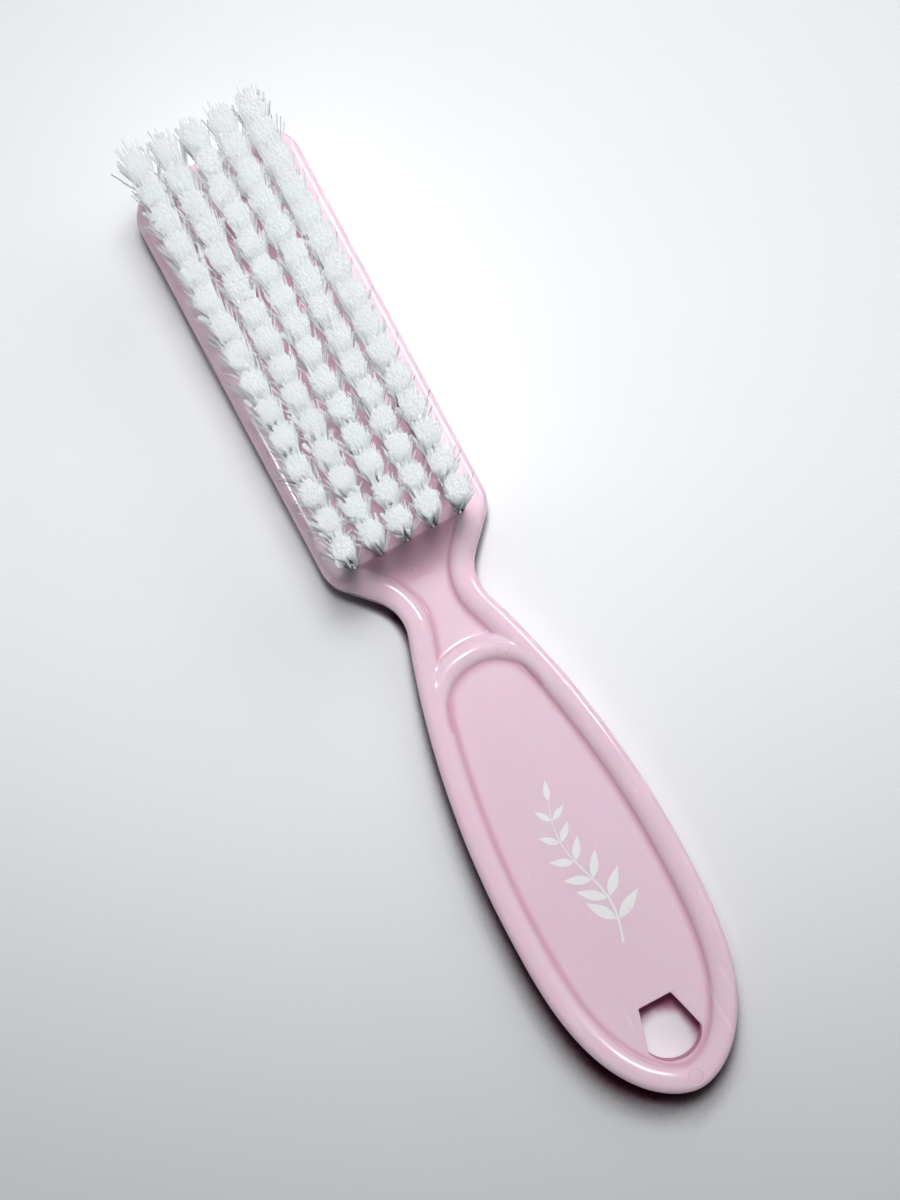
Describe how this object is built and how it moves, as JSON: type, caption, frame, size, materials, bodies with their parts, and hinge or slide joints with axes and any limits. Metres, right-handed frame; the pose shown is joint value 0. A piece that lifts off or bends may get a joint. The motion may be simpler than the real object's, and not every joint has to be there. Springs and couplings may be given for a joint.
{
  "type": "nail brush",
  "caption": "Long-handled nail brush: one moulded body with a rectangular head, rimmed leaf handle and hang hole, and stapled nylon tufts.",
  "frame": {"origin": "centre of the brush's footprint, at the flat back face it lies on", "axes": "+X across the brush, +Y from the handle's tail to the head, +Z from the back to the bristle tips"},
  "size_m": [0.0324, 0.1762, 0.03],
  "materials": {
    "handle_plastic": "glossy pastel pink, injection moulded",
    "nylon": "white nylon filament, slightly translucent",
    "anchor_strip": "cut flat strip"
  },
  "bodies": {
    "root": {"body": "handle_plastic", "tuft_row_01": "nylon", "tuft_row_02": "nylon", "tuft_row_03": "nylon", "tuft_row_04": "nylon", "tuft_row_05": "nylon", "tuft_row_06": "nylon", "tuft_row_07": "nylon", "tuft_row_08": "nylon", "tuft_row_09": "nylon", "tuft_row_10": "nylon", "tuft_row_11": "nylon", "tuft_row_12": "nylon", "tuft_row_13": "nylon", "tuft_row_14": "nylon", "tuft_row_15": "nylon", "anchor_row_01": "anchor_strip", "anchor_row_02": "anchor_strip", "anchor_row_03": "anchor_strip", "anchor_row_04": "anchor_strip", "anchor_row_05": "anchor_strip", "anchor_row_06": "anchor_strip", "anchor_row_07": "anchor_strip", "anchor_row_08": "anchor_strip", "anchor_row_09": "anchor_strip", "anchor_row_10": "anchor_strip", "anchor_row_11": "anchor_strip", "anchor_row_12": "anchor_strip", "anchor_row_13": "anchor_strip", "anchor_row_14": "anchor_strip", "anchor_row_15": "anchor_strip"}
  },
  "joints": []
}
